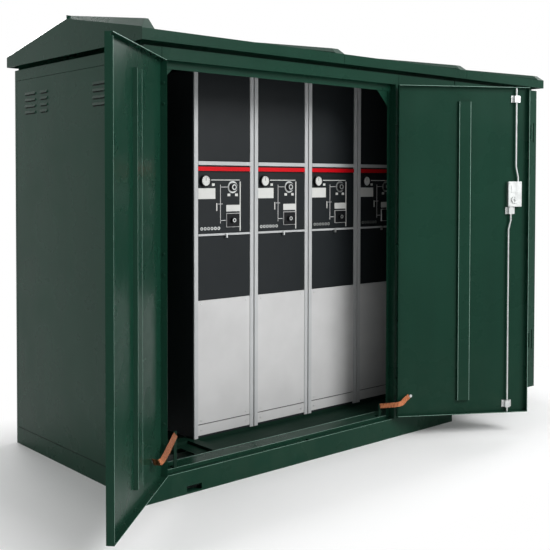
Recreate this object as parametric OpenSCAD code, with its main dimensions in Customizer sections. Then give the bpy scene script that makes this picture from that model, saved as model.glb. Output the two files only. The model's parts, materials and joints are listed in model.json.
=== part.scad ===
// Outdoor ring main unit: a four-panel switchgear row in a green sheet-steel kiosk
// with two open front doors, a closed side compartment and a ribbed gable roof.
// Frame: origin on the ground at the middle of the main base frame's anchor bolts,
// +X along the front to the right, +Y to the back, +Z up.

/* [Kiosk] */
// Length of the main base frame
base_l = 2030; // [1900:5:2300]
// Depth of the body, front skin to back skin
body_d = 1226; // [1100:2:1500]
// Height of the base frame at the front
plinth_h = 97; // [60:1:160]
// Height of the base frame under the end walls
end_plinth_h = 85; // [50:1:150]
// Underside of the top rails, the head of the door opening
head_z = 1867; // [1700:1:2200]
// Height of the top rails
rail_h = 53; // [40:1:90]
// Open ventilation gap between the top rails and the roof fascia
eave_gap = 16; // [8:1:30]
// Thickness of the kiosk's sheet steel
sheet = 3; // [2:0.5:5]
// Thickness of the base channels
channel_t = 5; // [4:0.5:8]
// Flange width of the base channels
flange = 50; // [40:1:70]
// Seam left between neighbouring panels
seam = 2; // [1:0.5:4]

/* [Side compartment] */
// Length of the side compartment
annex_l = 804; // [700:1:1000]
// Joint between the main body and the side compartment
annex_joint = 6; // [3:1:12]
// Underside of the side compartment
annex_z = 83; // [60:1:120]
// Top of the side compartment's bottom rail
annex_sill_z = 154; // [130:1:200]
// Width of the side compartment's left jamb
annex_jamb_l = 42; // [30:1:80]
// Width of the side compartment's right jamb
annex_jamb_r = 68; // [50:1:100]

/* [Roof] */
// Overhang of the roof all round
overhang = 30; // [15:1:60]
// Height of the roof's edge fascia
fascia_h = 48; // [35:1:70]
// Rise of the ridge above the eaves
ridge_rise = 115; // [80:1:180]
// Length of the left roof section
roof_left_l = 1163; // [1000:1:1300]
// Length of the middle roof section
roof_mid_l = 970; // [800:1:1100]
// Width of the cap over each roof joint
cap_w = 60; // [45:1:90]
// Height of the left end's cap above the roof at the eaves
cap_rise = 40; // [25:1:55]
// Height of the left end's cap above the ridge
cap_ridge_rise = 20; // [12:1:30]
// Height of the other caps, as a share of the left end's
cap_share = 0.55; // [0.4:0.05:1]
// Width over which a cap's left face slopes up from the roof
cap_lean = 50; // [20:1:55]
// Length of a cap's sloping end, measured along the depth
cap_chamfer = 47; // [30:1:70]

/* [Doors] */
// Left edge of the door opening, from the left end of the body
opening_left = 60; // [50:1:120]
// Clear width of the door opening
opening_w = 1482; // [1400:1:1560]
// Width of each door leaf
leaf_w = 730; // [680:1:733]
// Depth of a door leaf's folded edges
leaf_d = 30; // [20:1:40]
// Thickness of a door leaf's sheet
leaf_t = 2; // [1.5:0.5:3]
// Gap between a door leaf and the sill or head
leaf_gap = 6; // [5:0.5:10]
// Angle that the left door stands open
left_open = 138; // [90:1:150]
// Angle that the right door stands open
right_open = 148; // [90:1:150]
// Width of the door stop round the opening
stop_w = 25; // [15:1:40]
// Gap between a closed door's folded edge and the stop
stop_gap = 5; // [5:0.5:8]
// Width of the hat-section stiffener on a door
hat_w = 76; // [50:1:100]
// Height of the hat-section stiffener
hat_h = 16; // [10:1:22]
// Distance of a stiffener's end from the door's end
hat_end = 80; // [50:5:150]

/* [Hinges] */
// Radius of a hinge barrel
barrel_r = 7; // [6:0.5:9]
// Radius of a hinge pin
pin_r = 4; // [3:0.5:5]
// Running clearance between a hinge pin and its bore
pin_clear = 0.06; // [0.03:0.01:0.1]
// Length of each hinge barrel
barrel_l = 44; // [30:1:60]
// Distance of the top and bottom hinges from the door's middle
hinge_spread = 715; // [500:5:760]

/* [Lock] */
// Radius of a locking rod
rod_r = 5; // [4:0.5:7]
// Travel of a locking rod
rod_travel = 20; // [12:1:30]
// Clearance of a rod in its guides
rod_clear = 0.5; // [0.3:0.1:1]
// Height of the lock's spindle
lock_z = 1262; // [1100:1:1400]
// Distance of the lock's spindle from the hinge pin
lock_s = 648; // [600:1:670]

/* [Switchgear] */
// Number of cubicles
cubicles = 4; // [2:1:4]
// Pitch of the cubicles
pitch = 372; // [340:1:375]
// Left side of the first cubicle, from the left end of the body
gear_left = 486; // [440:1:520]
// Distance of the cubicles' panels behind the kiosk's front skin
gear_setback = 340; // [300:1:400]
// Depth of a cubicle
gear_d = 765; // [600:1:790]
// Height of the cubicles' feet above the ground
gear_z = 114; // [105:1:150]
// Top of the cubicles
gear_top = 1890; // [1500:1:1900]
// Width of the upright trim on each side of a cubicle
trim_w = 22; // [16:1:30]
// Distance of a trim from its cubicle's side
trim_in = 3; // [1:0.5:8]
// Thickness of the front panels
panel_t = 4; // [2:0.5:6]
// Top of the cable compartment's cover
cover_top = 780; // [600:1:850]
// Underside of the control panel
control_z = 1105; // [1000:1:1150]
// Top of the control panel
control_top = 1402; // [1350:1:1450]
// Radius of the pressure gauge
gauge_r = 29; // [20:1:35]

/* [Anchors] */
// Distance of an anchor bolt from the end of the base frame
anchor_in = 150; // [100:5:300]
// Side of a square anchor plate
anchor_plate = 90; // [70:5:120]
// Thickness of an anchor plate
anchor_t = 6; // [5:0.5:10]
// Radius of an anchor bolt hole
anchor_r = 9; // [7:0.5:12]

/* [Hidden] */
$fn = 48;
// Overlap that makes a cut run cleanly through a face
e = 1;

// Overall places
left_x = -base_l/2;
annex_x = base_l/2 + annex_joint;
right_x = annex_x + annex_l;
front_y = -body_d/2;
back_y = body_d/2;
rail_top = head_z + rail_h;
fascia_z = rail_top + eave_gap;
eave_z = fascia_z + fascia_h;
ridge_z = eave_z + ridge_rise;
roof_x = left_x - overhang;
roof_r = right_x + overhang;
roof_y = back_y + overhang;
slope = ridge_rise/roof_y;
roof_joint_1 = roof_x + roof_left_l;
roof_joint_2 = roof_joint_1 + roof_mid_l;

// Door opening, leaves and hinges
open_l = left_x + opening_left;
open_r = open_l + opening_w;
// The pin stands off the front skin by its barrel and a little air
pin_y = front_y - barrel_r - 1;
edge_gap = 4;
hinge_l = open_l + 2;
hinge_r = open_r - 2;
annex_hinge = right_x - annex_jamb_r - 2;
stop_y = front_y + leaf_d + stop_gap;
sill_z = plinth_h + sheet;
stop_z = sill_z + 14;
head_stop_z = head_z - stop_w - 8;
// Distance from the opening's edge to the header's joint, on both sides
head_seam = 24;
gusset_leg = 76;
post_leg = 20;
// Underside of the roof sheet above the bearers, less a hair
bearer_top = eave_z - sheet + (roof_y-abs(stop_y))*slope - 0.6;
leaf_z0 = sill_z + 2*leaf_gap;
leaf_z1 = head_z - leaf_gap;
leaf_mid = (leaf_z0 + leaf_z1)/2;
hinge_zs = [leaf_mid - hinge_spread, leaf_mid, leaf_mid + hinge_spread];
annex_leaf_w = annex_hinge - edge_gap - (annex_x + annex_jamb_l + leaf_gap);
annex_leaf_z0 = annex_sill_z + leaf_gap;
annex_hinge_zs = [annex_leaf_z0 + 220, leaf_z1 - 200];

// Switchgear
gear_x = left_x + gear_left;
panel_y = front_y + gear_setback;
gear_y = panel_y + panel_t;
face_x = trim_in + trim_w + 1;
face_w = pitch - 1 - 2*face_x;
// Joints between a cubicle's panels
panel_gap = 3;
rail_z = gear_z - flange;
rail_w = 60;
sill_d = 130;

// Colours
green = "#1f3d33";
dark_green = "#182c26";
charcoal = "#35383a";
pale_grey = "#c9cbcc";
metal = "#d8dadb";
copper = "#c9763f";
red = "#d8232a";

// A box from its low corner to its high corner
module box(a, b) {
    translate(a) cube([b[0]-a[0], b[1]-a[1], b[2]-a[2]]);
}

// A channel along X with closed ends; flanges point to +Y
module channel_x(x0, x1, y, h) {
    difference() {
        box([x0, y, 0], [x1, y+flange, h]);
        box([x0+channel_t, y+channel_t, channel_t],
            [x1-channel_t, y+flange+e, h-channel_t]);
    }
}

// Square plates inside the base frame, drilled for the anchor bolts
module anchor_plates() {
    half = anchor_plate/2;
    y = body_d/2 - flange - half;
    color(green) for (sx = [-1, 1], sy = [-1, 1]) translate([sx*(base_l/2-anchor_in), sy*y, 0])
        difference() {
            box([-half, -half, 0], [half, half, anchor_t]);
            translate([0, 0, -e]) cylinder(r=anchor_r, h=anchor_t+2*e);
        }
}

// Slot in the sill that the lower locking rod drops into
module keeper_slot(z0, z1) {
    x = hinge_r - lower_s_bottom;
    box([x-13, front_y+channel_t, z0], [x+13, front_y+30, z1]);
}

module plinth_front() {
    color(green) difference() {
        channel_x(left_x, -left_x, front_y, plinth_h);
        // Lifting recess low on the left of the front face
        box([left_x+210, front_y-e, 8], [left_x+290, front_y+channel_t+e, 34]);
        keeper_slot(plinth_h-channel_t-e, plinth_h+e);
    }
}

module plinth_back() {
    color(green) mirror([0, 1, 0]) channel_x(left_x, -left_x, front_y, plinth_h);
}

module plinth_ends() {
    y0 = front_y + flange;
    color(green) for (s = [0, 1]) mirror([s, 0, 0]) difference() {
        box([left_x, y0, 0], [left_x+flange, -y0, end_plinth_h]);
        box([left_x+channel_t, y0-e, channel_t],
            [left_x+flange+e, -y0+e, end_plinth_h-channel_t]);
    }
}

module annex_skids() {
    color(green) for (x = [annex_x+44, right_x-30-flange])
        box([x, front_y+80, 0], [x+flange, back_y, annex_z]);
}

module switchgear_rails() {
    color(dark_green) for (y = [gear_y, gear_y+gear_d-rail_w])
        box([left_x+flange, y, rail_z], [-left_x-flange, y+rail_w, gear_z]);
}

module floor_cross_beam() {
    color(dark_green)
        box([gear_x-30, front_y+sill_d, rail_z], [gear_x+14, gear_y, gear_z]);
}

// Floor of the front gangway, right of the cross beam
module floor_plate() {
    color(dark_green)
        box([gear_x+14, front_y+sill_d, plinth_h], [-left_x-sheet, gear_y, plinth_h+sheet]);
}

// Floor of the left cable space, with its cable opening
module cable_floor() {
    x0 = left_x + sheet;
    x1 = gear_x - 30;
    color(dark_green) difference() {
        box([x0, front_y+sill_d, plinth_h], [x1, gear_y, plinth_h+sheet]);
        box([x0+70, front_y+sill_d+35, plinth_h-e], [x1-70, gear_y-40, plinth_h+sheet+e]);
    }
}

// Floor of the side compartment
module annex_floor() {
    color(dark_green)
        box([annex_x, front_y+40, annex_z], [right_x-sheet, back_y-sheet, annex_z+sheet]);
}

module left_wall() {
    color(green) difference() {
        box([left_x, front_y, end_plinth_h], [left_x+sheet, back_y-post_leg-seam, head_z-seam]);
        // The base frame's front and back channels stand a little higher than its ends
        for (s = [-1, 1]) box([left_x-e, s*body_d/2-flange, end_plinth_h-e],
            [left_x+sheet+e, s*body_d/2+flange, plinth_h]);
    }
}

module right_wall() {
    color(green)
        box([right_x-sheet, front_y, annex_z], [right_x, back_y-post_leg-seam, head_z-seam]);
}

module back_wall() {
    in = post_leg + seam;
    color(green) difference() {
        union() {
            box([left_x+in, back_y-sheet, plinth_h], [right_x-in, back_y, head_z-seam]);
            box([base_l/2, back_y-sheet, annex_z], [right_x-in, back_y, plinth_h]);
        }
        // Groove where the main body and the side compartment are joined
        box([base_l/2, back_y-1, annex_z-e], [annex_x, back_y+e, head_z]);
    }
}

// Angle posts at the two back corners
module back_corner_posts() {
    z0 = [plinth_h, annex_z];
    color(green) for (i = [0, 1])
        translate([[left_x, right_x][i], back_y, 0]) mirror([i, 0, 0]) difference() {
            box([0, -post_leg, z0[i]], [post_leg, 0, head_z]);
            box([sheet, -post_leg-e, z0[i]-e], [post_leg+e, -sheet, head_z+e]);
        }
}

// Upright round the door opening: front skin, return and door stop
module jamb(x_far, x_edge) {
    s = sign(x_edge - x_far);
    in_x = x_edge - s*sheet;
    out_x = x_edge + s*stop_w;
    box([min(x_far, x_edge), front_y, sill_z], [max(x_far, x_edge), front_y+sheet, head_z]);
    box([min(in_x, x_edge), front_y, sill_z], [max(in_x, x_edge), stop_y, head_z]);
    box([min(in_x, out_x), stop_y, stop_z], [max(in_x, out_x), stop_y+sheet, head_stop_z]);
}

module left_jamb() {
    color(green) {
        jamb(left_x+sheet, open_l);
        box([left_x+sheet, front_y, head_z], [open_l+head_seam, front_y+sheet, rail_top]);
    }
}

module front_panel() {
    x1 = base_l/2;
    color(green) {
        jamb(x1, open_r);
        box([x1-sheet, front_y, sill_z], [x1, stop_y, head_z]);
        box([open_r+head_seam, front_y, head_z], [x1, front_y+sheet, rail_top]);
    }
}

module door_header() {
    x0 = open_l + head_seam + seam;
    x1 = open_r + head_seam - seam;
    color(green) {
        box([x0, front_y, head_z], [x1, front_y+sheet, rail_top]);
        box([x0, front_y, rail_top-sheet], [x1, stop_y, rail_top]);
    }
}

module door_sill() {
    x0 = left_x + sheet;
    x1 = base_l/2;
    color(green) difference() {
        union() {
            box([x0, front_y, plinth_h], [x1, stop_y+sheet, sill_z]);
            box([x0, stop_y, plinth_h], [x1, stop_y+sheet, stop_z]);
            box([x0, stop_y, stop_z-sheet], [x1, front_y+sill_d, stop_z]);
            box([x0, front_y+sill_d-sheet, plinth_h], [x1, front_y+sill_d, stop_z]);
        }
        keeper_slot(plinth_h-e, sill_z+e);
    }
}

// Plate behind the head of the openings: door stop below, roof bearer above
module inner_header() {
    color(green)
        box([left_x+sheet, stop_y, head_stop_z], [right_x-sheet, stop_y+sheet, bearer_top]);
}

module corner_gussets() {
    leg = gusset_leg;
    color(green) for (c = [[open_l, 1], [open_r, -1]])
        translate([c[0], stop_y+2*sheet, head_stop_z]) rotate([90, 0, 0]) linear_extrude(sheet) polygon([
            [0, 20], [c[1]*(leg+stop_w), 20], [c[1]*(leg+stop_w), 0], [c[1]*stop_w, -leg], [0, -leg]
        ]);
}

module side_rails() {
    color(green) {
        box([left_x, front_y, head_z], [left_x+sheet, back_y, rail_top]);
        box([right_x-sheet, front_y, head_z], [right_x, back_y, rail_top]);
    }
}

// Back rail: outer skin, flange and the bearer under the roof
module back_rail() {
    x0 = left_x + sheet;
    x1 = right_x - sheet;
    color(green) {
        box([x0, back_y-sheet, head_z], [x1, back_y, rail_top]);
        box([x0, -stop_y, rail_top-sheet], [x1, back_y, rail_top]);
        box([x0, -stop_y-sheet, head_z], [x1, -stop_y, bearer_top]);
    }
}

// Front rails of the side compartment, below and above its door
module annex_rails() {
    color(green) {
        difference() {
            box([annex_x, front_y, annex_z], [right_x-sheet, front_y+40, annex_sill_z]);
            box([annex_x+sheet, front_y+sheet, annex_z+sheet],
                [right_x-2*sheet, front_y+40+e, annex_sill_z-sheet]);
        }
        box([annex_x, front_y, head_z], [right_x-sheet, front_y+sheet, rail_top]);
        box([annex_x, front_y, rail_top-sheet], [right_x-sheet, stop_y, rail_top]);
    }
}

module annex_jambs() {
    x_l = annex_x + annex_jamb_l;
    x_r = right_x - annex_jamb_r;
    color(green) {
        // Left jamb: front skin and the two returns
        box([annex_x, front_y, annex_sill_z], [x_l, front_y+sheet, head_z]);
        box([annex_x, front_y, annex_sill_z], [annex_x+sheet, stop_y, head_z]);
        box([x_l-sheet, front_y, annex_sill_z], [x_l, stop_y, head_z]);
        // Right jamb with its two hinge pockets
        difference() {
            union() {
                box([x_r, front_y, annex_sill_z], [right_x-sheet, front_y+sheet, head_z]);
                box([x_r, front_y, annex_sill_z], [x_r+sheet, stop_y, head_z]);
            }
            for (z = annex_hinge_zs)
                box([right_x-34, front_y-e, z-60], [right_x-26, front_y+sheet+e, z+60]);
        }
    }
}

// Section of a roof sheet, seen along X: fascia, slope, slope, fascia
module roof_section() {
    t = sheet;
    polygon([
        [-roof_y, fascia_z], [-roof_y, eave_z], [0, ridge_z], [roof_y, eave_z], [roof_y, fascia_z],
        [roof_y-t, fascia_z], [roof_y-t, eave_z-t], [0, ridge_z-t], [-roof_y+t, eave_z-t], [-roof_y+t, fascia_z]
    ]);
}

// Extrudes a Y-Z outline along X, from x0 to x1
module along_x(x0, x1) {
    translate([x0, 0, 0]) rotate([90, 0, 90]) linear_extrude(x1-x0) children();
}

module roof_left() { color(green) along_x(roof_x+sheet, roof_joint_1-seam/2) roof_section(); }
module roof_middle() { color(green) along_x(roof_joint_1+seam/2, roof_joint_2-seam/2) roof_section(); }
module roof_right() { color(green) along_x(roof_joint_2+seam/2, roof_r-sheet) roof_section(); }

module gable_ends() {
    color(green) for (x = [roof_x, roof_r-sheet]) along_x(x, x+sheet)
        polygon([[-roof_y, fascia_z], [-roof_y, eave_z], [0, ridge_z], [roof_y, eave_z], [roof_y, fascia_z]]);
}

// Cap over a roof joint; it stands up from the roof and slopes off at both eaves
module roof_cap(x1, share) {
    top = eave_z + cap_chamfer*slope + cap_rise*share;
    half = roof_y - cap_chamfer;
    peak = ridge_z + cap_ridge_rise*share;
    color(green) difference() {
        along_x(x1-cap_w, x1) polygon([
            [-roof_y, eave_z], [-half, top], [0, peak], [half, top], [roof_y, eave_z], [0, ridge_z]
        ]);
        // The left face leans in from a narrow upright foot
        for (s = [-1, 1]) translate([x1-cap_w, 0, ridge_z]) rotate([s*atan(slope), 0, 0])
            translate([0, s > 0 ? -2*roof_y : 0, 0]) rotate([90, 0, 0]) mirror([0, 0, 1])
                linear_extrude(2*roof_y) polygon([[-e, 4], [0, 4], [cap_lean*share, 4+cap_rise*share],
                    [cap_lean*share, 2*cap_rise+4], [-e, 2*cap_rise+4]]);
    }
}

module roof_caps() {
    roof_cap(roof_x+cap_w, 1);
    for (x = [roof_joint_1, roof_joint_2, roof_r]) roof_cap(x, cap_share);
}

// A door leaf shut, with the hinge pin at the origin and the leaf running to +X.
// over is how far the skin runs past the folded edge on the free side.
module leaf(w, z0, z1, over, hinges) {
    x0 = edge_gap;
    x1 = edge_gap + w;
    y0 = front_y - pin_y;
    y1 = y0 + leaf_d;
    t = leaf_t;
    difference() {
        union() {
            box([x0, y0, z0], [x1, y0+t, z1]);
            box([x0, y0, z0], [x0+t, y1, z1]);
            box([x1-over-t, y0, z0+over], [x1-over, y1, z1]);
            box([x0, y0, z0+over], [x1-over, y1, z0+over+t]);
            box([x0, y0, z1-t], [x1-over, y1, z1]);
            for (z = hinges) {
                translate([0, 0, z+0.5]) cylinder(r=barrel_r, h=barrel_l);
                box([0, barrel_r-2, z+0.5], [40, y0, z+0.5+barrel_l]);
            }
        }
        for (z = hinges)
            translate([0, 0, z-e]) cylinder(r=pin_r+pin_clear, h=barrel_l+3*e);
        // The free edge's fold stops short of the corner folds
        box([x1-over-t-e, y1-8, z1-14], [x1-over+e, y1+e, z1-t]);
    }
}

// Hat-section stiffener on a shut leaf
module hat(w, z0, z1) {
    y0 = front_y - pin_y + leaf_t;
    x0 = edge_gap + w/2 - hat_w/2;
    x1 = x0 + hat_w;
    rib = hat_h;
    translate([0, 0, z0+hat_end]) linear_extrude(z1-z0-2*hat_end) polygon([
        [x0, y0], [x0+6, y0+rib], [x1-6, y0+rib], [x1, y0],
        [x1-3, y0], [x1-8, y0+rib-leaf_t], [x0+8, y0+rib-leaf_t], [x0+3, y0]
    ]);
}

// Places a shut leaf's parts at a hinge and swings them open
module at_left_door() { translate([hinge_l, pin_y, 0]) rotate([0, 0, -left_open]) children(); }
module at_right_door() {
    translate([hinge_r, pin_y, 0]) rotate([0, 0, right_open]) mirror([1, 0, 0]) children();
}
module at_annex_door() { translate([annex_hinge, pin_y, 0]) mirror([1, 0, 0]) children(); }

module left_door() {
    color(green) at_left_door() leaf(leaf_w, leaf_z0, leaf_z1, 0, hinge_zs);
}

module left_door_stiffener() {
    color(green) at_left_door() hat(leaf_w, leaf_z0, leaf_z1);
}

module right_door() {
    lock_y = front_y - pin_y;
    color(green) at_right_door() difference() {
        leaf(leaf_w, leaf_z0, leaf_z1, 8, hinge_zs);
        // Spindle hole, and the rods' holes in the top and bottom folds
        translate([lock_s, lock_y-e, lock_z]) rotate([-90, 0, 0])
            cylinder(r=spindle_r+pin_clear, h=leaf_t+2*e);
        translate([upper_s_top, rod_y, leaf_z1-leaf_t-e]) cylinder(r=rod_r+2, h=leaf_t+2*e);
        translate([lower_s_bottom, rod_y, leaf_z0-e]) cylinder(r=rod_r+2, h=12+2*e);
    }
}

module right_door_stiffener() {
    color(green) at_right_door() hat(leaf_w, leaf_z0, leaf_z1);
}

module annex_door() {
    color(green) at_annex_door() leaf(annex_leaf_w, annex_leaf_z0, leaf_z1, 0, annex_hinge_zs);
}

// Fixed half of a hinge: lower barrel, pin and the plate on the jamb
module fixed_hinge(dir) {
    y0 = front_y - pin_y;
    translate([0, 0, -barrel_l-0.5]) {
        cylinder(r=barrel_r, h=barrel_l);
        cylinder(r=pin_r, h=2*barrel_l-2);
        mirror([dir, 0, 0]) box([-30, barrel_r-2, 0], [0, y0, barrel_l]);
    }
}

module door_hinges() {
    color(green) {
        for (z = hinge_zs) {
            translate([hinge_l, pin_y, z]) fixed_hinge(0);
            translate([hinge_r, pin_y, z]) fixed_hinge(1);
        }
        for (z = annex_hinge_zs) translate([annex_hinge, pin_y, z]) fixed_hinge(1);
    }
}

// Lock: case, turning handle with its cam, and the two rods
spindle_r = 8;
case_w = 74;
case_h = 134;
case_d = 24;
floor_y = front_y - pin_y + leaf_t;
rod_y = floor_y + 14;
cam_arm = 20;
upper_s = lock_s + cam_arm;
lower_s = lock_s - cam_arm;
joggle = 12;
upper_s_top = upper_s - joggle;
lower_s_bottom = lower_s - joggle;
case_z = lock_z - 37;
guide_h = 36;
guide_zs = [leaf_z1-62, case_z-4-guide_h/2, leaf_z0+52];

module lock_case() {
    color(metal) at_right_door() difference() {
        box([lock_s-case_w/2, floor_y, case_z], [lock_s+case_w/2, floor_y+case_d, case_z+case_h]);
        translate([lock_s, floor_y-e, lock_z]) rotate([-90, 0, 0])
            cylinder(r=spindle_r+pin_clear, h=case_d+2*e);
        for (s = [upper_s, lower_s])
            translate([s, rod_y, lock_z-case_h]) cylinder(r=rod_r+rod_clear, h=2*case_h);
    }
}

module lock_handle() {
    y_out = front_y - pin_y;
    color(metal) at_right_door() {
        translate([lock_s, y_out-6, lock_z]) rotate([-90, 0, 0])
            cylinder(r=spindle_r, h=6+leaf_t+case_d+5);
        // Cam on the inside
        translate([lock_s, floor_y+case_d+1, lock_z]) rotate([-90, 0, 0]) cylinder(r=20, h=6);
        // Lever on the outside
        translate([lock_s, y_out-14, lock_z]) rotate([-90, 0, 0]) cylinder(r=16, h=10);
        box([lock_s-110, y_out-24, lock_z-11], [lock_s+12, y_out-14, lock_z+11]);
    }
}

// A round rod in one plane that steps sideways by dx between two heights
module stepped_rod(s0, z0, s1, z1, step_z, step_h) {
    dx = s1 - s0;
    len = sqrt(dx*dx + step_h*step_h);
    translate([s0, rod_y, z0]) cylinder(r=rod_r, h=step_z-z0);
    translate([s0, rod_y, step_z]) sphere(r=rod_r+0.05);
    translate([s0, rod_y, step_z]) rotate([0, atan2(dx, step_h), 0]) cylinder(r=rod_r, h=len);
    translate([s1, rod_y, step_z+step_h]) sphere(r=rod_r+0.05);
    translate([s1, rod_y, step_z+step_h]) cylinder(r=rod_r, h=z1-step_z-step_h);
}

module upper_rod() {
    color(metal) at_right_door()
        stepped_rod(upper_s, lock_z+40, upper_s_top, leaf_z1-leaf_t-2, case_z+case_h+20, 60);
}

module lower_rod() {
    color(metal) at_right_door()
        stepped_rod(lower_s_bottom, leaf_z0+4, lower_s, lock_z-2, lock_z-160, 50);
}

module rod_guide(s, z) {
    difference() {
        box([s-26, floor_y, z-guide_h/2], [s+26, floor_y+22, z+guide_h/2]);
        translate([s, rod_y, z-guide_h/2-e]) cylinder(r=rod_r+rod_clear, h=guide_h+2*e);
        for (k = [-1, 1]) box([s+min(k*12, k*27), floor_y+5, z-guide_h/2-e],
            [s+max(k*12, k*27), floor_y+23, z+guide_h/2+e]);
    }
}

module rod_guides() {
    color(metal) at_right_door() {
        rod_guide(upper_s_top, guide_zs[0]);
        rod_guide(lower_s, guide_zs[1]);
        rod_guide(lower_s_bottom, guide_zs[2]);
    }
}

// Earthing: a bracket on the sill and a flat copper strap to each door
strap_w = 25;
strap_t = 3;
left_bracket = [open_l+115, stop_y+4, 260];
right_bracket = [open_r-71, stop_y+4, 172];

module strap_bracket(p) {
    box([p[0]-8, p[1]-2, stop_z], [p[0]+8, p[1]+2, p[2]+14]);
    box([p[0]-8, p[1]-2, stop_z], [p[0]+8, p[1]+28, stop_z+4]);
}

module strap_brackets() {
    color(dark_green) {
        strap_bracket(left_bracket);
        strap_bracket(right_bracket);
    }
}

// A flat strap along straight stretches between points, on edge
module strap(points) {
    for (i = [0:len(points)-2]) {
        a = points[i];
        b = points[i+1];
        d = b - a;
        run = norm([d[0], d[1]]);
        multmatrix([[d[0]/run, -d[1]/run, 0, a[0]], [d[1]/run, d[0]/run, 0, a[1]],
                    [d[2]/run, 0, 1, a[2]], [0, 0, 0, 1]])
            translate([0, -strap_t/2, -strap_w/2]) cube([run, strap_t, strap_w]);
    }
}

// A point on an open door's inner face: distance from the pin, depth off the skin, height
function on_left_door(s, d, z) =
    [hinge_l + s*cos(left_open) + (floor_y+d)*sin(left_open),
     pin_y - s*sin(left_open) + (floor_y+d)*cos(left_open), z];
function on_right_door(s, d, z) =
    [hinge_r - s*cos(right_open) - (floor_y+d)*sin(right_open),
     pin_y - s*sin(right_open) + (floor_y+d)*cos(right_open), z];

module left_earth_strap() {
    color(copper) strap([on_left_door(160, 3, 222), on_left_door(190, 30, 238), left_bracket+[0, -3.2, 0]]);
}

module right_earth_strap() {
    color(copper) strap([
        on_right_door(66, 4, 224), on_right_door(35, 32, 212), on_right_door(2, 34, 196),
        right_bracket+[0, -3, 0]
    ]);
}

// Repeats a piece on every cubicle's front, from the cubicle's own left edge
module on_each() {
    for (i = [0:cubicles-1]) translate([gear_x+i*pitch, panel_y, 0]) children();
}

// Switchgear: one plain steel housing for each cubicle
module cubicle_housings() {
    color(charcoal) on_each()
        box([0, panel_t, gear_z], [pitch-1, gear_d, gear_top]);
}

// A panel between the trims, from z0 to z1, standing proud of the housing
module face(z0, z1, proud=0) {
    box([face_x, -proud, z0], [face_x+face_w, panel_t, z1]);
}

module panel_trims() {
    color(metal) on_each() for (x = [trim_in, pitch-1-trim_in-trim_w])
        box([x, -4, gear_z], [x+trim_w, panel_t, gear_top]);
}

module control_panels() { color(charcoal) on_each() face(control_z, control_top-panel_gap); }
module blank_panels() {
    color(charcoal) on_each() {
        face(control_top+51+panel_gap, gear_top);
        face(cover_top+panel_gap, control_z-13-panel_gap);
    }
}

module cable_covers() { color(pale_grey) on_each() face(gear_z+67, cover_top, 2); }
module kick_plates() { color(pale_grey) on_each() face(gear_z+12, gear_z+62, 2); }

// White rails above the band and below the control panel
module panel_rails() {
    color(metal) on_each() {
        face(control_top+33, control_top+51, 6);
        face(control_z-13, control_z-panel_gap, 6);
    }
}

module fascia_bands() { color(red) on_each() face(control_top+5, control_top+25, 4); }

module pressure_gauges() {
    color(pale_grey) on_each() translate([66, 0, control_top-43]) rotate([90, 0, 0])
        cylinder(r=gauge_r, h=12);
}

// Operating shafts: a collar above and a boxed knob below on each control panel
module switch_operators() {
    color(charcoal) on_each() {
        translate([237, 0, control_z+223]) rotate([90, 0, 0]) cylinder(r=20, h=14);
        box([200, -12, control_z+29], [272, 0, control_z+91]);
        translate([230, -12, control_z+60]) rotate([90, 0, 0]) cylinder(r=14, h=12);
    }
}

plinth_front();
plinth_back();
plinth_ends();
annex_skids();
switchgear_rails();
floor_cross_beam();
floor_plate();
cable_floor();
annex_floor();
left_wall();
right_wall();
back_wall();
back_corner_posts();
left_jamb();
front_panel();
door_header();
door_sill();
inner_header();
corner_gussets();
side_rails();
back_rail();
anchor_plates();
annex_rails();
annex_jambs();
annex_door();
roof_left();
roof_middle();
roof_right();
gable_ends();
roof_caps();
left_door();
left_door_stiffener();
right_door();
right_door_stiffener();
door_hinges();
lock_case();
lock_handle();
upper_rod();
lower_rod();
rod_guides();
strap_brackets();
left_earth_strap();
right_earth_strap();
cubicle_housings();
panel_trims();
blank_panels();
control_panels();
cable_covers();
kick_plates();
panel_rails();
fascia_bands();
pressure_gauges();
switch_operators();
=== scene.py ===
"""Looks of an outdoor ring main unit: painted kiosk, switchgear fronts, door lock and earth straps."""
import json
import math
import random
import bpy
from mathutils import Matrix, Vector

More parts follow.
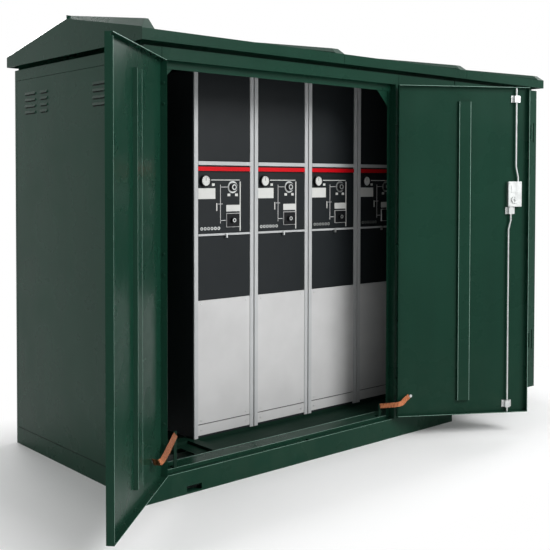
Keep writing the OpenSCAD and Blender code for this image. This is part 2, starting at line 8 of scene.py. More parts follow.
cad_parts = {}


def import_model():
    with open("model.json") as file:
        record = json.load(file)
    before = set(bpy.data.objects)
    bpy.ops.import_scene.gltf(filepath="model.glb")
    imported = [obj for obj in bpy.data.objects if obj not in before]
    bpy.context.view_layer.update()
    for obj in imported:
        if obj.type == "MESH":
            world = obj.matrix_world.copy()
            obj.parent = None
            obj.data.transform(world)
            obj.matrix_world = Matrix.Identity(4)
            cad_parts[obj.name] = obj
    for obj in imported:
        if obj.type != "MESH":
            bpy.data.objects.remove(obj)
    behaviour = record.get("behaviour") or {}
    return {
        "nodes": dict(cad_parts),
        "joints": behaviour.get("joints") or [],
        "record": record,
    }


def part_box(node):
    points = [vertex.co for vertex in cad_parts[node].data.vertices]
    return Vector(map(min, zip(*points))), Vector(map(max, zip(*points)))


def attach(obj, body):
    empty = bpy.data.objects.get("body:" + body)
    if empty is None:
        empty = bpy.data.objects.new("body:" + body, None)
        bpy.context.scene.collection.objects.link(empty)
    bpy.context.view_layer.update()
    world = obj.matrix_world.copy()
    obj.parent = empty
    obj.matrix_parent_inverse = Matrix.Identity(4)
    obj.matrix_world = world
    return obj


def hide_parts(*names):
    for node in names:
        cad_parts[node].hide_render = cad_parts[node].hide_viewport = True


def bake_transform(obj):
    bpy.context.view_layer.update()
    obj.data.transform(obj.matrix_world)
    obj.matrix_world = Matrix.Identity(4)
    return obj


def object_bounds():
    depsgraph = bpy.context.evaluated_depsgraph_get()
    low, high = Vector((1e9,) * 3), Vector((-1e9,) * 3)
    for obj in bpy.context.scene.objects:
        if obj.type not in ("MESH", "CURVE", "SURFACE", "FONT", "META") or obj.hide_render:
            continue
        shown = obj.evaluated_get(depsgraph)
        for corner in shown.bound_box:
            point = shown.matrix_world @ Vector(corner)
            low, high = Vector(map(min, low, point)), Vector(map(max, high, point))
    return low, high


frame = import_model()
CAD_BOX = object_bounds()
NODES = frame["nodes"]
JOINTS = {j["name"]: j for j in frame["joints"]}
MM = 0.001
random.seed(7)


# ---------------------------------------------------------------- colours and materials

def linear(red, green, blue):
    """A colour given as 0 to 255 screen values, as the linear colour the shader wants."""
    def one(v):
        v = v / 255
        return v / 12.92 if v <= 0.04045 else ((v + 0.055) / 1.055) ** 2.4
    return (one(red), one(green), one(blue), 1.0)


def surface(name, colour, rough, metallic=0.0, specular=0.5, coat=0.0):
    """A principled material; returns it with its node tree and shader."""
    material = bpy.data.materials.new(name)
    material.use_nodes = True
    shader = material.node_tree.nodes["Principled BSDF"]
    shader.inputs["Base Color"].default_value = colour
    shader.inputs["Roughness"].default_value = rough
    shader.inputs["Metallic"].default_value = metallic
    shader.inputs["Specular IOR Level"].default_value = specular
    shader.inputs["Coat Weight"].default_value = coat
    shader.inputs["Coat Roughness"].default_value = 0.25
    return material, material.node_tree, shader


def noise(tree, scale, detail=4.0, stretch=(1, 1, 1)):
    """Noise in the row frame; stretch sets how fast it changes along each axis."""
    place = tree.nodes.new("ShaderNodeTexCoord")
    mapping = tree.nodes.new("ShaderNodeMapping")
    mapping.inputs["Scale"].default_value = stretch
    texture = tree.nodes.new("ShaderNodeTexNoise")
    texture.inputs["Scale"].default_value = scale
    texture.inputs["Detail"].default_value = detail
    tree.links.new(place.outputs["Object"], mapping.inputs["Vector"])
    tree.links.new(mapping.outputs["Vector"], texture.inputs["Vector"])
    return texture.outputs["Fac"]


def remap(tree, value, low, high, to_low, to_high):
    """Takes the stretch from low to high of a value to another range."""
    node = tree.nodes.new("ShaderNodeMapRange")
    for key, number in (("From Min", low), ("From Max", high), ("To Min", to_low), ("To Max", to_high)):
        node.inputs[key].default_value = number
    tree.links.new(value, node.inputs["Value"])
    return node.outputs["Result"]


def times(tree, a, b):
    node = tree.nodes.new("ShaderNodeMath")
    node.operation = "MULTIPLY"
    tree.links.new(a, node.inputs[0])
    tree.links.new(b, node.inputs[1])
    return node.outputs[0]


def mixed(tree, amount, first, second):
    """Mixes two colours, or the output of an earlier mix and a colour."""
    node = tree.nodes.new("ShaderNodeMix")
    node.data_type = "RGBA"
    tree.links.new(amount, node.inputs[0])
    for socket, colour in ((node.inputs[6], first), (node.inputs[7], second)):
        if isinstance(colour, bpy.types.NodeSocket):
            tree.links.new(colour, socket)
        else:
            socket.default_value = colour
    return node.outputs[2]


def bumpy(tree, shader, height, strength, distance):
    node = tree.nodes.new("ShaderNodeBump")
    node.inputs["Strength"].default_value = strength
    node.inputs["Distance"].default_value = distance
    tree.links.new(height, node.inputs["Height"])
    tree.links.new(node.outputs["Normal"], shader.inputs["Normal"])


def height_above_ground(tree):
    place = tree.nodes.new("ShaderNodeTexCoord")
    parts = tree.nodes.new("ShaderNodeSeparateXYZ")
    tree.links.new(place.outputs["Object"], parts.inputs[0])
    return parts.outputs["Z"]


def sheet_paint(name, colour, rough, dirt):
    """Painted sheet steel: broad tone, faint runs down the sheet, dust near the ground, orange peel."""
    dark = tuple(0.72 * c for c in colour[:3]) + (1,)
    dusty = tuple(0.75 * c + 0.25 * d for c, d in zip(colour[:3], linear(120, 118, 104)[:3])) + (1,)
    material, tree, shader = surface(name, colour, rough, specular=0.09)
    broad = remap(tree, noise(tree, 1.4, 3), 0.35, 0.7, 0.0, 0.55)
    runs = remap(tree, noise(tree, 3.0, 5, (5, 5, 0.35)), 0.45, 0.75, 0.0, 0.35)
    tone = mixed(tree, broad, colour, dark)
    tone = mixed(tree, runs, tone, dark)
    low = remap(tree, height_above_ground(tree), 0.02, 0.55, dirt, 0.0)
    dust = times(tree, low, remap(tree, noise(tree, 14, 6), 0.35, 0.65, 0.2, 1.0))
    tree.links.new(mixed(tree, dust, tone, dusty), shader.inputs["Base Color"])
    tree.links.new(remap(tree, noise(tree, 5, 5), 0.3, 0.7, rough - 0.05, rough + 0.09),
                   shader.inputs["Roughness"])
    bumpy(tree, shader, noise(tree, 420, 2), 0.06, 0.0006)
    return material


def powder_coat(name, colour, rough, grain=900):
    """Fine-textured powder coat with a little handling wear."""
    soft = tuple(0.86 * c for c in colour[:3]) + (1,)
    material, tree, shader = surface(name, colour, rough, specular=0.16)
    tree.links.new(mixed(tree, remap(tree, noise(tree, 6, 5), 0.35, 0.7, 0.0, 0.6), colour, soft),
                   shader.inputs["Base Color"])
    tree.links.new(remap(tree, noise(tree, 18, 4), 0.3, 0.7, rough - 0.05, rough + 0.06),
                   shader.inputs["Roughness"])
    bumpy(tree, shader, noise(tree, grain, 2), 0.12, 0.0004)
    return material


def bare_metal(name, colour, rough, stretch=(1, 1, 1)):
    """Zinc, aluminium or copper with a fine drawn grain and dull patches."""
    dull = tuple(0.6 * c for c in colour[:3]) + (1,)
    material, tree, shader = surface(name, colour, rough, metallic=0.85)
    tree.links.new(mixed(tree, remap(tree, noise(tree, 24, 5), 0.4, 0.75, 0.0, 0.6), colour, dull),
                   shader.inputs["Base Color"])
    tree.links.new(remap(tree, noise(tree, 60, 4, stretch), 0.3, 0.7, rough - 0.08, rough + 0.12),
                   shader.inputs["Roughness"])
    bumpy(tree, shader, noise(tree, 300, 3, stretch), 0.1, 0.0004)
    return material


def braided_copper():
    """Crossing strands of a flat copper braid."""
    bright, deep = linear(226, 150, 104), linear(120, 62, 36)
    material, tree, shader = surface("braided_copper", bright, 0.42, metallic=0.75)
    place = tree.nodes.new("ShaderNodeTexCoord")
    strands = []
    for lean in (0.7, -0.7):
        mapping = tree.nodes.new("ShaderNodeMapping")
        mapping.inputs["Rotation"].default_value = (lean, lean, 0)
        wave = tree.nodes.new("ShaderNodeTexWave")
        wave.inputs["Scale"].default_value = 110
        wave.inputs["Distortion"].default_value = 0.6
        tree.links.new(place.outputs["Object"], mapping.inputs["Vector"])
        tree.links.new(mapping.outputs["Vector"], wave.inputs["Vector"])
        strands.append(wave.outputs["Fac"])
    weave = times(tree, strands[0], strands[1])
    tree.links.new(mixed(tree, remap(tree, weave, 0.0, 0.5, 0.0, 1.0), deep, bright),
                   shader.inputs["Base Color"])
    bumpy(tree, shader, weave, 0.6, 0.001)
    return material


GREEN = sheet_paint("green_paint", linear(19, 54, 41), 0.27, 0.12)
INNER = sheet_paint("inner_green_paint", linear(11, 38, 28), 0.6, 0.05)
CHARCOAL = powder_coat("charcoal_coat", linear(30, 34, 36), 0.5)
GREY = powder_coat("grey_coat", linear(196, 196, 196), 0.42)
TRIM = powder_coat("trim_coat", linear(182, 184, 185), 0.35)
RED = powder_coat("red_coat", linear(196, 14, 26), 0.35)
ZINC = bare_metal("zinc_plate", linear(206, 209, 208), 0.38, (1, 1, 0.1))
BLACK = powder_coat("black_plastic", linear(22, 23, 25), 0.38)
WHITE = powder_coat("white_plastic", linear(206, 207, 204), 0.4)
VOID = powder_coat("vent_shadow", linear(9, 12, 11), 0.8)
# Pale green paint for thin strips on bends: a painted highlight standing in for the glints on glossy folded sheet
EDGE_HIGHLIGHT = sheet_paint("painted_edge_highlight", linear(134, 164, 152), 0.25, 0.1)
COPPER = braided_copper()

NODE_PAINT = {
    "inner_green": INNER, "kiosk_green": GREEN, "zinc": ZINC, "copper_braid": COPPER,
    "gear_charcoal": CHARCOAL, "gear_grey": GREY, "trim_metal": TRIM, "band_red": RED,
    "gauge": BLACK, "operator_black": BLACK,
}


def paint_nodes():
    """Gives every CAD node the finish of its material slot."""
    for part in frame["record"]["subparts"]:
        mesh = NODES[part["node"]].data
        mesh.materials.clear()
        mesh.materials.append(NODE_PAINT[part["material_slot"]])


# ---------------------------------------------------------------- shapes, as (points, faces)

def block(low, high):
    (x0, y0, z0), (x1, y1, z1) = low, high
    points = [(x, y, z) for x in (x0, x1) for y in (y0, y1) for z in (z0, z1)]
    faces = [(0, 1, 3, 2), (4, 6, 7, 5), (0, 4, 5, 1), (2, 3, 7, 6), (0, 2, 6, 4), (1, 5, 7, 3)]
    return points, faces


AXES = {"X": (Vector((0, 1, 0)), Vector((0, 0, 1))), "Y": (Vector((0, 0, 1)), Vector((1, 0, 0))),
        "Z": (Vector((1, 0, 0)), Vector((0, 1, 0)))}


def disc(centre, axis, radius, length, sides=28, chamfer=0.0):
    """A capped cylinder from centre, length along axis (negative runs the other way)."""
    u, v = AXES[axis]
    along = Vector([length if a == axis else 0 for a in "XYZ"])
    if length < 0:
        u, v = v, u
    cut = chamfer / abs(length)
    rings = [(0, radius), (1 - cut, radius)] + ([(1, radius - chamfer)] if chamfer else [])
    points, faces = [], []
    for t, r in rings:
        for k in range(sides):
            a = 2 * math.pi * k / sides
            points.append(tuple(Vector(centre) + along * t + r * (math.cos(a) * u + math.sin(a) * v)))
    for ring in range(len(rings) - 1):
        for k in range(sides):
            a, b = ring * sides + k, ring * sides + (k + 1) % sides
            faces.append((a, b, b + sides, a + sides))
    faces.append(tuple(range(sides))[::-1])
    faces.append(tuple(range((len(rings) - 1) * sides, len(rings) * sides)))
    return points, faces


def ring(centre, axis, inner, outer, length, sides=32):
    """A flat ring, length thick along axis."""
    u, v = AXES[axis]
    along = Vector([length if a == axis else 0 for a in "XYZ"])
    if length < 0:
        u, v = v, u
    points, faces = [], []
    for t, r in ((0, outer), (1, outer), (1, inner), (0, inner)):
        for k in range(sides):
            a = 2 * math.pi * k / sides
            points.append(tuple(Vector(centre) + along * t + r * (math.cos(a) * u + math.sin(a) * v)))
    for loop in range(4):
        for k in range(sides):
            a, b = loop * sides + k, loop * sides + (k + 1) % sides
            step = ((loop + 1) % 4 - loop) * sides
            faces.append((a, b, b + step, a + step))
    return points, faces


def bolt(centre, axis, size, out=1):
    """A hexagon head on a washer; out is +1 or -1 along axis."""
    washer = disc(centre, axis, size * 1.15, out * size * 0.22)
    top = [c + (out * size * 0.22 if a == axis else 0) for c, a in zip(centre, "XYZ")]
    return [washer, disc(top, axis, size * 0.85, out * size * 0.6, 6, size * 0.12)]


def screw(centre, axis, size, out=1):
    """A low round screw head."""
    return [disc(centre, axis, size, out * size * 0.45, 16, size * 0.2)]


def piece(name, shapes, material, body, place=None):
    """Joins shapes to one object that rides on a body."""
    points, faces = [], []
    for more_points, more_faces in shapes:
        first = len(points)
        points += more_points
        faces += [tuple(first + k for k in face) for face in more_faces]
    mesh = bpy.data.meshes.new(name)
    mesh.from_pydata(points, [], faces)
    if place is not None:
        mesh.transform(place)
    mesh.materials.append(material)
    mesh.validate()
    mesh.update()
    made = bpy.data.objects.new(name, mesh)
    bpy.context.scene.collection.objects.link(made)
    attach(made, body)
    return made


def open_leaf(joint_name):
    """Takes a leaf's shut place to its open place at rest: shut is the hinge's upper limit."""
    joint = JOINTS[joint_name]
    pin = Vector(joint["pos_m"])
    turn = Matrix.Rotation(-math.radians(joint["range_deg"][1]), 4, Vector(joint["axis"]))
    return Matrix.Translation(pin) @ turn @ Matrix.Translation(-pin)


LEFT_PIN = Vector(JOINTS["left_door_hinge"]["pos_m"])
RIGHT_PIN = Vector(JOINTS["right_door_hinge"]["pos_m"])
ANNEX_PIN = Vector(JOINTS["side_door_hinge"]["pos_m"])
LEFT_OPEN = open_leaf("left_door_hinge")
RIGHT_OPEN = open_leaf("right_door_hinge")
# Free edge of each leaf's fold, in millimetres from its pin
LEAF_ENDS = {"left_door": 734, "right_door": 726, "annex_door": 686}
# Inner face of a shut leaf's skin, and of its hinge fold, from the pin
LEAF_FACE = 10 * MM
FOLD_FACE = 6 * MM


# ---------------------------------------------------------------- kiosk

def louvres(name, wall_x, out, y_groups, top_z):
    """Two groups of pressed louvres high on an end wall; out is the way the wall faces."""
    rows, pitch, tall, proud = 4, 31 * MM, 13 * MM, 7 * MM
    hoods, slots = [], []
    for y0, y1 in y_groups:
        for row in range(rows):
            z = top_z - row * pitch
            hood = [(wall_x, y0, z), (wall_x, y1, z), (wall_x, y0, z - tall), (wall_x, y1, z - tall),
                    (wall_x + out * proud, y0 + proud, z - tall), (wall_x + out * proud, y1 - proud, z - tall)]
            faces = [(0, 1, 5, 4), (0, 4, 2), (1, 3, 5), (2, 4, 5, 3), (0, 2, 3, 1)]
            if out < 0:
                faces = [f[::-1] for f in faces]
            hoods.append((hood, faces))
            # Under each hood a near-black block is painted shade, standing in for the dark inside of the opening
            x0, x1 = sorted((wall_x, wall_x + out * 0.8 * MM))
            slots.append(block((x0, y0 + proud, z - tall - 4.5 * MM), (x1, y1 - proud, z - tall)))
    piece(name, hoods, GREEN, "kiosk")
    piece(name + "_slots", slots, VOID, "kiosk")


def end_wall_louvres():
    left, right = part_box("left_wall"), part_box("right_wall")
    groups = [(0.377, 0.498), (0.250, 0.332), (-0.300, -0.182), (-0.465, -0.345)]
    louvres("left_louvres", left[0][0], -1, groups, 1.800)
    louvres("right_louvres", right[1][0], 1, groups, 1.800)


def back_louvres():
    """One row of louvre groups along the back wall, like those on the ends."""
    back_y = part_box("back_wall")[1][1]
    hoods, slots = [], []
    wide, tall, proud, pitch = 120 * MM, 13 * MM, 7 * MM, 31 * MM
    for x in (-0.80, -0.63, 0.51, 0.68, 1.30, 1.47):
        for row in range(4):
            z = 1.800 - row * pitch
            hood = [(x, back_y, z), (x + wide, back_y, z), (x, back_y, z - tall), (x + wide, back_y, z - tall),
                    (x + proud, back_y + proud, z - tall), (x + wide - proud, back_y + proud, z - tall)]
            hoods.append((hood, [(0, 4, 5, 1), (0, 2, 4), (1, 5, 3), (2, 3, 5, 4), (0, 1, 3, 2)]))
            # Under each hood a near-black block is painted shade, standing in for the dark inside of the opening
            slots.append(block((x + proud, back_y, z - tall - 4.5 * MM),
                               (x + wide - proud, back_y + 0.8 * MM, z - tall)))
    piece("back_louvres", hoods, GREEN, "kiosk")
    piece("back_louvre_slots", slots, VOID, "kiosk")


def frame_bolts():
    """Bolts in the gussets and a screw at the joint of the two bodies."""
    shapes = []
    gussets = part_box("corner_gussets")
    face_y = gussets[0][1]
    for x, out in ((gussets[0][0], 1), (gussets[1][0], -1)):
        for dx, dz in ((0.060, 0.085), (0.014, 0.030)):
            shapes += bolt((x + out * dx, face_y, gussets[0][2] + dz), "Y", 6 * MM, -1)
    joint_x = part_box("annex_rails")[0][0]
    front_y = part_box("annex_rails")[0][1]
    shapes += screw((joint_x - 0.030, front_y, 1.893), "Y", 5 * MM, -1)
    piece("frame_bolts", shapes, GREEN, "kiosk")


def sill_edge_highlights():
    """Painted highlights: pale strips along the sill's three folded edges, standing in for their glossy glints."""
    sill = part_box("door_sill")
    front, back, top = sill[0][1], sill[1][1], sill[1][2]
    x0, x1 = LEFT_PIN.x + 8 * MM, RIGHT_PIN.x - 8 * MM
    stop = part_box("inner_header")[0][1]
    step = 14 * MM
    wide, proud = 3.5 * MM, 0.5 * MM
    shapes = [block((x0, front, top - step), (x1, front + wide, top - step + proud)),
              block((x0, stop, top), (x1, stop + wide, top + proud)),
              block((x0, back - wide, top), (x1, back, top + proud))]
    piece("sill_edge_highlights", shapes, EDGE_HIGHLIGHT, "kiosk")


def wall_seams():
    """Dark joint between each end wall and the base frame below it."""
    wide, deep = 3 * MM, 0.6 * MM
    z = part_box("left_wall")[0][2]
    y0, y1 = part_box("left_wall")[0][1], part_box("left_wall")[1][1]
    left_x, right_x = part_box("left_wall")[0][0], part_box("right_wall")[1][0]
    piece("left_wall_seam", [block((left_x - deep, y0, z), (left_x, y1, z + wide))], VOID, "kiosk")
    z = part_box("annex_rails")[0][2] + 71 * MM
    piece("right_wall_seam", [block((right_x, y0, z), (right_x + deep, y1, z + wide))], VOID, "kiosk")


def leaf_edge_highlights(name, node, pin, side, body, place, hat=True):
    """Painted highlights on a leaf: pale strips on the rims of its folded edges and the corners of its stiffener,
    standing in for the glints on those glossy bends.
    """
    low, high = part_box(node)[0][2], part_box(node)[1][2]
    start, end, rim, thick = 6 * MM, LEAF_ENDS[node] * MM, 38 * MM, 2 * MM
    hair = 0.1 * MM
    rim_y = pin.y + rim

    def strip(s0, s1, y, z0, z1):
        x0, x1 = sorted((pin.x + side * s0, pin.x + side * s1))
        return block((x0, y, z0), (x1, y + hair, z1))

    shapes = [strip(start, end, rim_y, high - thick, high),
              strip(start, end, rim_y, low + 8 * MM * (side < 0 and hat), low + 8 * MM * (side < 0 and hat) + thick),
              strip(end - thick, end, rim_y, low + 12 * MM, high - 16 * MM)]
    if hat:
        middle, half, top = (4 + 365) * MM, 32 * MM, pin.y + LEAF_FACE + 16 * MM
        clear = 80 * MM
        for s in (middle - half, middle + half - thick):
            shapes.append(strip(s, s + thick, top, low + clear, high - clear))
    piece(name, shapes, EDGE_HIGHLIGHT, body, place)


def hinge_nuts(name, pin, side, body, heights, place=None):
    """Two nuts beside each hinge, on the inner side of a leaf's hinge fold."""
    shapes = []
    for z in heights:
        for dz in (-22 * MM, 66 * MM):
            centre = (pin.x + side * FOLD_FACE, pin.y + 24 * MM, z + dz)
            shapes += bolt(centre, "X", 6 * MM, side)
    piece(name, shapes, GREEN, body, place)


def hinge_heights(node, count):
    """The hinges' heights: the outer two lie as far from the leaf's ends as on the drawing."""
    low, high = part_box(node)[0][2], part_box(node)[1][2]
    middle = (low + high) / 2
    spread = 0.715
    return [middle + spread * k for k in (-1, 0, 1)][:count] if count == 3 else \
        [low + 0.220, high - 0.200]


# ---------------------------------------------------------------- lock

LOCK = Vector(JOINTS["lock_turn"]["pos_m"])
LOCK_SHUT = RIGHT_OPEN.inverted() @ LOCK
CASE_DEPTH = 24 * MM


def lock_details():
    """Cover screws, slide plate and the spindle's nut on the inside of the right leaf."""
    x, z = LOCK_SHUT.x, LOCK_SHUT.z
    face = RIGHT_PIN.y + LEAF_FACE
    front = face + CASE_DEPTH
    shapes = []
    for dx in (-30 * MM, 30 * MM):
        for dz in (-29 * MM, 89 * MM):
            shapes += screw((x + dx, front, z + dz), "Y", 4 * MM)
    shapes.append(block((x - 20 * MM, front, z + 38 * MM), (x + 20 * MM, front + 2 * MM, z + 76 * MM)))
    piece("lock_cover_parts", shapes, ZINC, "right_leaf", RIGHT_OPEN)
    nut = bolt((x, front + 7 * MM, z), "Y", 8 * MM)
    nut.append(block((x - 4 * MM, front + 7 * MM, z - 17 * MM), (x + 4 * MM, front + 9.5 * MM, z + 17 * MM)))
    piece("lock_spindle_nut", nut, ZINC, "lock_spindle", RIGHT_OPEN)


def guide_screws():
    """Two screws in the feet of each rod guide."""
    x, face = LOCK_SHUT.x, RIGHT_PIN.y + LEAF_FACE
    shapes = []
    for dx, z in ((-8 * MM, 1.799), (20 * MM, 1.203), (32 * MM, 0.164)):
        for foot in (-19 * MM, 19 * MM):
            shapes += screw((x + dx + foot, face + 5 * MM, z), "Y", 4 * MM)
    piece("rod_guide_screws", shapes, ZINC, "right_leaf", RIGHT_OPEN)


# ---------------------------------------------------------------- earth straps

def curve_through(points, count):
    """Even steps along a smooth curve through the points."""
    ends = [2 * points[0] - points[1]] + points + [2 * points[-1] - points[-2]]
    made = []
    spans = len(points) - 1
    for k in range(count + 1):
        place = min(k / count * spans, spans - 1e-6)
        i, t = int(place), place - int(place)
        a, b, c, d = ends[i:i + 4]
        made.append(0.5 * ((2 * b) + (c - a) * t + (2 * a - 5 * b + 4 * c - d) * t * t
                           + (3 * b - a - 3 * c + d) * t ** 3))
    return made


# The broad side of both straps faces out of the opening and to the left
STRAP_FACES = Vector((-0.64, -0.77, 0))


def flat_strap(name, node, points):
    """A flat braid on edge through the points, from the sill bracket to a door leaf."""
    half_w, half_t = 12.5 * MM, 1.4 * MM
    steps, across = 60, 8
    path = curve_through(points, steps)
    verts, faces = [], []
    for k, at in enumerate(path):
        ahead = path[min(k + 1, steps)] - path[max(k - 1, 0)]
        broad = ahead.cross(STRAP_FACES).normalized() * half_w
        side = broad.cross(ahead).normalized() * half_t
        for s in (1, -1):
            for j in range(across + 1):
                w = s * (2 * j / across - 1)
                ripple = 1 + 0.25 * math.cos(math.pi * (j + k))
                verts.append(at + s * side * ripple + w * broad)
    loop = 2 * (across + 1)
    for k in range(steps):
        for j in range(loop):
            a, b = k * loop + j, k * loop + (j + 1) % loop
            faces.append((a, b, b + loop, a + loop))
    faces.append(tuple(range(loop))[::-1])
    faces.append(tuple(steps * loop + j for j in range(loop)))
    mesh = bpy.data.meshes.new(name)
    mesh.from_pydata([tuple(v) for v in verts], [], faces)
    mesh.materials.append(COPPER)
    mesh.validate()
    mesh.update()
    strap = bpy.data.objects.new(name, mesh)
    bpy.context.scene.collection.objects.link(strap)
    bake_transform(strap)
    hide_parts(node)
    return strap


def on_leaf(place, pin, side, along, depth, z):
    """A point on an open leaf, from its distances along and off the skin's inner face when shut."""
    return place @ Vector((pin.x + side * along, pin.y + LEAF_FACE + depth, z))


def strap_lug(name, centre, body, place=None, out=1):
    """The bolt and washer that hold a strap's end."""
    shapes = bolt(centre, "Y", 7 * MM, out)
    piece(name, shapes, ZINC, body, place)


def earth_straps():
    """Both straps sag a little between the sill's brackets and the leaves."""
    low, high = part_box("strap_brackets")
    front = low[1] - 1.6 * MM
    left_z, right_z = 0.260, 0.172
    left = [Vector((low[0] + 8 * MM, front, left_z))]
    left += [on_leaf(LEFT_OPEN, LEFT_PIN, 1, s, d, z) for s, d, z in
             ((0.176, 0.052, 0.240), (0.168, 0.020, 0.226), (0.150, 0.0045, 0.222))]
    flat_strap("left_braid", "left_earth_strap", left)
    right = [Vector((high[0] - 8 * MM, front, right_z))]
    right += [on_leaf(RIGHT_OPEN, RIGHT_PIN, -1, s, d, z) for s, d, z in
              ((0.010, 0.036, 0.190), (0.044, 0.022, 0.208), (0.072, 0.0045, 0.222))]
    flat_strap("right_braid", "right_earth_strap", right)
    leaf_face = LEFT_PIN.y + LEAF_FACE
    strap_lug("left_leaf_lug", (LEFT_PIN.x + 0.140, leaf_face, 0.222), "left_leaf", LEFT_OPEN)
    strap_lug("right_leaf_lug", (RIGHT_PIN.x - 0.082, leaf_face, 0.222), "right_leaf", RIGHT_OPEN)


# ---------------------------------------------------------------- switchgear fronts

GEAR_LOW, GEAR_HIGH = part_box("cubicle_housings")
PANEL_LOW, PANEL_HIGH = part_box("control_panels")
CUBICLES = 4
SIDE_GAP = 1 * MM
PITCH = (GEAR_HIGH[0] - GEAR_LOW[0] + SIDE_GAP) / CUBICLES
FRONT = PANEL_LOW[1]


def on_panels(make):
    """The shapes that make(x) gives for every cubicle, x being the cubicle's left edge."""
    return [shape for i in range(CUBICLES) for shape in make(GEAR_LOW[0] + i * PITCH)]


def plate(x, x0, x1, z0, z1, thick=1.5):
    """A thin plate on the control panel's front, sizes in millimetres from the cubicle's left edge."""
    return block((x + x0 * MM, FRONT - thick * MM, z0 * MM), (x + x1 * MM, FRONT, z1 * MM))


def panel_labels():
    """Blank pale plates and bars on the control panels."""
    bars = ((28, 130, 1271, 1323), (110, 126, 1334, 1346), (136, 142, 1212, 1250), (197, 281, 1208, 1240),
            (281, 287, 1109, 1356), (100, 281, 1361, 1365), (205, 222, 1283, 1296), (252, 269, 1283, 1296))
    piece("panel_labels", on_panels(lambda x: [plate(x, *b) for b in bars]), WHITE, "kiosk")


def mimic_lines():
    """Plain one-line diagram: a bar down through the switch and its two branches."""
    bars = ((160, 163, 1150, 1340), (160, 200, 1163, 1166), (160, 216, 1327, 1330), (148, 175, 1244, 1247))
    piece("mimic_lines", on_panels(lambda x: [plate(x, *b, 1) for b in bars]), GREY, "kiosk")


def gauge_faces():
    """White dials in the dark gauge bodies, with a ring of ticks and a needle."""
    radius = (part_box("pressure_gauges")[1][2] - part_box("pressure_gauges")[0][2]) / 2
    z = (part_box("pressure_gauges")[1][2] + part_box("pressure_gauges")[0][2]) / 2
    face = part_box("pressure_gauges")[0][1]
    off = 66 * MM

    def dial(x):
        return [disc((x + off, face, z), "Y", radius * 0.84, -1 * MM)]

    def rim(x):
        return [ring((x + off, face, z), "Y", radius * 0.86, radius, -4 * MM)]

    def marks(x):
        made = [block((x + off - 1 * MM, face - 1.8 * MM, z), (x + off + 1 * MM, face - 1.0 * MM, z + 17 * MM))]
        for k in range(9):
            a = math.radians(-120 + 30 * k)
            cx, cz = x + off + 20 * MM * math.sin(a), z + 20 * MM * math.cos(a)
            made.append(block((cx - 1.2 * MM, face - 1.6 * MM, cz - 1.2 * MM),
                              (cx + 1.2 * MM, face - 1.0 * MM, cz + 1.2 * MM)))
        return made

    piece("gauge_dials", on_panels(dial), WHITE, "kiosk")
    piece("gauge_rims", on_panels(rim), BLACK, "kiosk")
    piece("gauge_marks", on_panels(marks), BLACK, "kiosk")


def operator_details():
    """Collar marks, shaft sockets and the frame of the lower operating shaft."""
    z_up, z_low = 1.328, 1.165

    def collars(x):
        return [ring((x + 237 * MM, FRONT, z_up), "Y", 22 * MM, 30 * MM, -1.5 * MM),
                ring((x + 237 * MM, FRONT - 14 * MM, z_up), "Y", 9 * MM, 14 * MM, -2 * MM),
                ring((x + 230 * MM, FRONT - 24 * MM, z_low), "Y", 6 * MM, 10 * MM, -2 * MM)]

    def frames(x):
        z0, z1, x0, x1 = 1130, 1200, 196, 276
        return [plate(x, x0, x1, z1 - 3, z1, 5), plate(x, x0, x1, z0, z0 + 3, 5),
                plate(x, x0, x0 + 3, z0 + 3, z1 - 3, 5), plate(x, x1 - 3, x1, z0 + 3, z1 - 3, 5)]

    def sockets(x):
        return [shape for k in range(6) for shape in
                (ring((x + (48 + 20.5 * k) * MM, FRONT, 1.127), "Y", 4 * MM, 8 * MM, -3 * MM),)]

    def hook(x):
        front = FRONT - 6 * MM
        return [block((x + 186 * MM, front - 10 * MM, 1.080), (x + 194 * MM, front, 1.092)),
                block((x + 186 * MM, front - 12 * MM, 1.080), (x + 194 * MM, front - 10 * MM, 1.102))]

    piece("shaft_collars", on_panels(collars), ZINC, "kiosk")
    piece("shaft_frames", on_panels(frames), GREY, "kiosk")
    piece("test_sockets", on_panels(sockets), ZINC, "kiosk")
    piece("handle_hooks", on_panels(hook), ZINC, "kiosk")


def cover_screws():
    """Screws in the corners of the covers and kick plates."""
    places = [(x, z, 2) for z in (763, 198) for x in (45, 322)]
    places += [(x, 151, 2) for x in (45, 322)]

    def heads(x):
        return [s for dx, z, proud in places
                for s in screw((x + dx * MM, FRONT - proud * MM, z * MM), "Y", 4.5 * MM, -1)]

    piece("cover_screws", on_panels(heads), ZINC, "kiosk")


# ---------------------------------------------------------------- camera, lights, stage

def camera():
    """The eye stands to the front left of the open doors, a little below the height of a person's."""
    eye = Vector((-3.056, -3.832, 1.358))
    yaw, pitch, roll = math.radians(41.645), math.radians(1.554), 0.0023
    ahead = Vector((math.sin(yaw) * math.cos(pitch), math.cos(yaw) * math.cos(pitch), -math.sin(pitch)))
    across = Vector((math.cos(yaw), -math.sin(yaw), 0))
    up = across.cross(ahead)
    right = across * math.cos(roll) + up * math.sin(roll)
    top = up * math.cos(roll) - across * math.sin(roll)
    data = bpy.data.cameras.new("camera")
    data.lens, data.sensor_width = 59.45, 36
    data.shift_x, data.shift_y = -0.0328, -0.1258
    data.clip_end = 200
    made = bpy.data.objects.new("camera", data)
    made.matrix_world = Matrix.Translation(eye) @ Matrix((right, top, -ahead)).transposed().to_4x4()
    bpy.context.scene.collection.objects.link(made)
    bpy.context.scene.camera = made


def soft_light(name, place, target, size, power):
    data = bpy.data.lights.new(name, "AREA")
    data.shape, data.size, data.energy = "DISK", size, power
    lamp = bpy.data.objects.new(name, data)
    lamp.location = place
    lamp.rotation_euler = (Vector(target) - Vector(place)).to_track_quat("-Z", "Y").to_euler()
    bpy.context.scene.collection.objects.link(lamp)


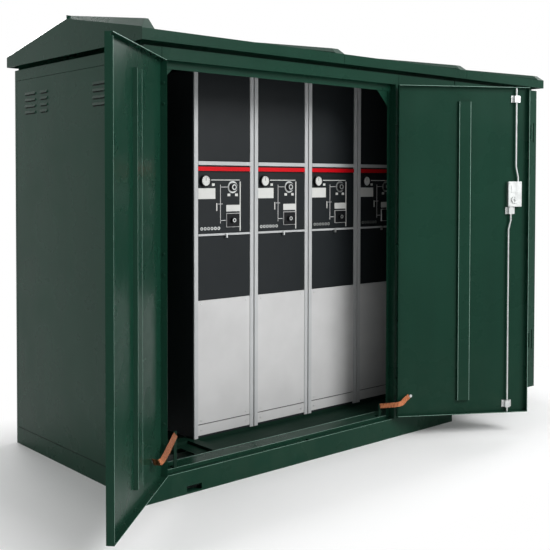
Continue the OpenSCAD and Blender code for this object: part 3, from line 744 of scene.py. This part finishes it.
def lights():
    soft_light("key", (1.5, -6.5, 4.6), (0.3, -0.6, 1.0), 3.5, 420)
    soft_light("left_fill", (-6.5, -0.5, 3.0), (-0.9, 0, 1.0), 3.0, 55)
    soft_light("top", (0.3, 0.3, 6.5), (0.3, 0.3, 0), 4.0, 120)
    soft_light("back_fill", (1.0, 6.5, 4.0), (0.3, 0.6, 1.0), 3.5, 220)
    soft_light("right_fill", (7.0, 0.5, 3.0), (1.8, 0, 1.0), 3.0, 130)


def seen_directly(tree):
    """1 for what the camera, a mirror or glass sees, and 0 for light on the object."""
    path = tree.nodes.new("ShaderNodeLightPath")
    total = path.outputs["Is Camera Ray"]
    for key in ("Is Glossy Ray", "Is Transmission Ray"):
        node = tree.nodes.new("ShaderNodeMath")
        node.operation = "MAXIMUM"
        tree.links.new(total, node.inputs[0])
        tree.links.new(path.outputs[key], node.inputs[1])
        total = node.outputs[0]
    return total


def world():
    made = bpy.data.worlds.new("world")
    bpy.context.scene.world = made
    made.use_nodes = True
    tree = made.node_tree
    back = tree.nodes["Background"]
    back.inputs["Color"].default_value = (1, 1, 1, 1)
    tree.links.new(remap(tree, seen_directly(tree), 0, 1, 0.4, 1.0), back.inputs["Strength"])


def times_around(tree, low, high):
    """How far out a floor point lies, 1 being the edge of the object's footprint."""
    place = tree.nodes.new("ShaderNodeTexCoord")
    parts = tree.nodes.new("ShaderNodeSeparateXYZ")
    tree.links.new(place.outputs["Object"], parts.inputs[0])
    widest = None
    for axis in (0, 1):
        middle, half = (low[axis] + high[axis]) / 2, (high[axis] - low[axis]) / 2
        share = remap(tree, parts.outputs[axis], middle - half, middle + half, -1, 1)
        share.node.clamp = False
        size = tree.nodes.new("ShaderNodeMath")
        size.operation = "ABSOLUTE"
        tree.links.new(share, size.inputs[0])
        if widest is None:
            widest = size.outputs[0]
            continue
        larger = tree.nodes.new("ShaderNodeMath")
        larger.operation = "MAXIMUM"
        tree.links.new(widest, larger.inputs[0])
        tree.links.new(size.outputs[0], larger.inputs[1])
        widest = larger.outputs[0]
    return widest


def stage():
    """A pale floor that runs out of sight."""
    reach = 40
    mesh = bpy.data.meshes.new("floor")
    mesh.from_pydata([(-reach, -reach, 0), (reach, -reach, 0), (reach, reach, 0), (-reach, reach, 0)],
                     [], [(0, 1, 2, 3)])
    floor = bpy.data.objects.new("floor", mesh)
    material, tree, shader = surface("floor_white", linear(246, 246, 246), 0.9, specular=0.1)
    tree.links.new(mixed(tree, remap(tree, noise(tree, 2, 2), 0.3, 0.7, 0.0, 0.3),
                         linear(248, 248, 248), linear(242, 242, 243)), shader.inputs["Base Color"])
    glow = tree.nodes.new("ShaderNodeEmission")
    glow.inputs["Strength"].default_value = 1
    blend = tree.nodes.new("ShaderNodeMixShader")
    outside = remap(tree, times_around(tree, *CAD_BOX), 0.95, 1.5, 0.0, 1.0)
    tree.links.new(times(tree, outside, seen_directly(tree)), blend.inputs[0])
    tree.links.new(shader.outputs[0], blend.inputs[1])
    tree.links.new(glow.outputs[0], blend.inputs[2])
    tree.links.new(blend.outputs[0], tree.nodes["Material Output"].inputs["Surface"])
    mesh.materials.append(material)
    bpy.context.scene.collection.objects.link(floor)


camera()
lights()
world()
stage()
paint_nodes()
end_wall_louvres()
back_louvres()
frame_bolts()
sill_edge_highlights()
leaf_edge_highlights("left_leaf_edge_highlights", "left_door", LEFT_PIN, 1, "left_leaf", LEFT_OPEN)
leaf_edge_highlights("right_leaf_edge_highlights", "right_door", RIGHT_PIN, -1, "right_leaf", RIGHT_OPEN)
wall_seams()
hinge_nuts("left_hinge_nuts", LEFT_PIN, 1, "left_leaf", hinge_heights("left_door", 3), LEFT_OPEN)
hinge_nuts("right_hinge_nuts", RIGHT_PIN, -1, "right_leaf", hinge_heights("right_door", 3), RIGHT_OPEN)
hinge_nuts("side_hinge_nuts", ANNEX_PIN, -1, "annex_leaf", hinge_heights("annex_door", 2))
lock_details()
guide_screws()
earth_straps()
panel_labels()
mimic_lines()
gauge_faces()
operator_details()
cover_screws()
bpy.context.scene.view_settings.view_transform = "Standard"
